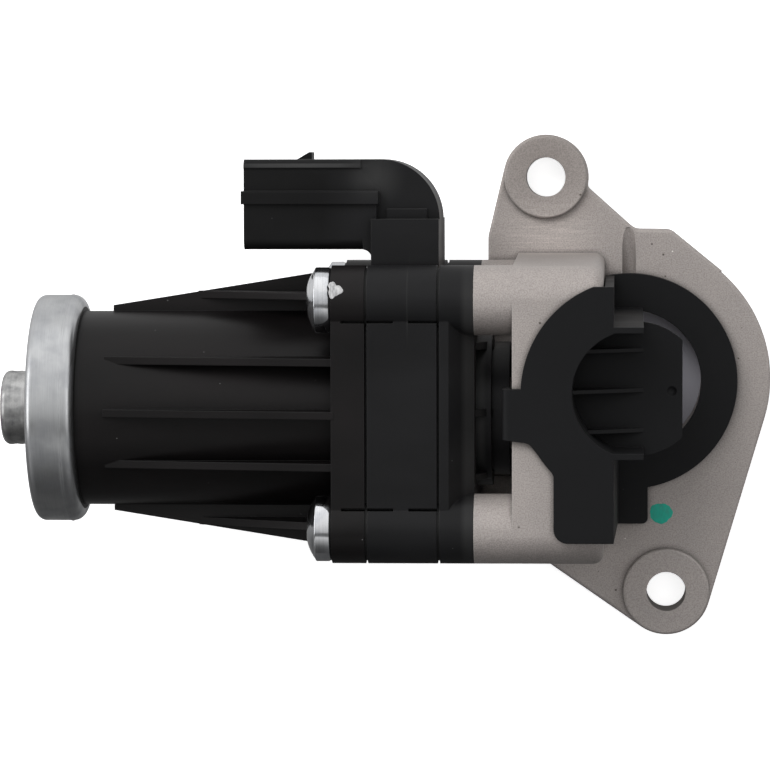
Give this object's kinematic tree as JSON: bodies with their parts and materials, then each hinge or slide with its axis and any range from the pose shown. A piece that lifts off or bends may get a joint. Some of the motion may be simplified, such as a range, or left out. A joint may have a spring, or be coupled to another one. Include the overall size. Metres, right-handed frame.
{
  "type": "egr valve",
  "caption": "Electric exhaust gas recirculation valve: ribbed motor barrel, stacked housings, side connector and a cast flange with a guarded port.",
  "frame": {"origin": "midway between the two bolt holes, on the flange's sealing face", "axes": "+X along the actuator towards the valve, +Y up the flange, +Z out of the flange towards the port guard"},
  "size_m": [0.163, 0.1084, 0.0672],
  "materials": {
    "cast_aluminium": "satin sand-blasted casting",
    "black_plastic": "satin moulded",
    "motor_plastic": "satin moulded",
    "guard_plastic": "satin moulded",
    "zinc_steel": "zinc plated",
    "cup_steel": "dull drawn steel",
    "screw_steel": "bright zinc plated",
    "machined_steel": "turned",
    "seal_rubber": "moulded",
    "brass": "turned",
    "copper": "enamelled wire",
    "tin": "tin plated",
    "magnet": "sintered ferrite",
    "carbon": "pressed carbon",
    "board": "circuit board"
  },
  "bodies": {
    "housing": {"valve_casting": "cast_aluminium", "valve_seat": "machined_steel", "guide_bush": "brass", "stem_seal": "seal_rubber", "return_spring": "machined_steel", "adapter_flange": "black_plastic", "adapter_gasket": "seal_rubber", "terminal_housing": "black_plastic", "connector_pins": "tin", "motor_gasket": "seal_rubber", "motor_housing": "motor_plastic", "end_cap": "zinc_steel", "bearing_cup": "cup_steel", "cap_seal": "seal_rubber", "housing_screws": "screw_steel", "compression_limiters": "machined_steel", "spindle_guide": "brass", "front_bearing": "machined_steel", "rear_bearing": "brass", "flux_ring": "machined_steel", "motor_magnets": "magnet", "brushes": "carbon", "brush_carrier": "black_plastic", "sensor_board": "board"},
    "rotor": {"rotor_shaft": "machined_steel", "screw_nut": "brass", "armature_core": "machined_steel", "armature_windings": "copper", "commutator": "copper"},
    "valve": {"valve_stem": "machined_steel", "valve_disc": "machined_steel", "spring_retainer": "machined_steel", "drive_spindle": "machined_steel", "sensor_magnet": "magnet"},
    "guard": {"port_guard": "guard_plastic"}
  },
  "joints": [
    {"name": "rotor_spin", "type": "hinge", "parent": "housing", "child": "rotor", "pos_m": [0, -0.00367, 0.034], "axis": [1, 0, 0], "range_deg": [0, 315]},
    {"name": "valve_lift", "type": "slide", "parent": "housing", "child": "valve", "axis": [1, 0, 0], "range_m": [0, 0.00525], "deforming": ["return_spring"]},
    {"name": "guard_pull", "type": "slide", "parent": "housing", "child": "guard", "axis": [0, 0, 1], "range_m": [0, 0.06]}
  ],
  "couplings": [
    {"joint": "valve_lift", "follows": "rotor_spin", "m_per_rad": 0.00095493}
  ]
}
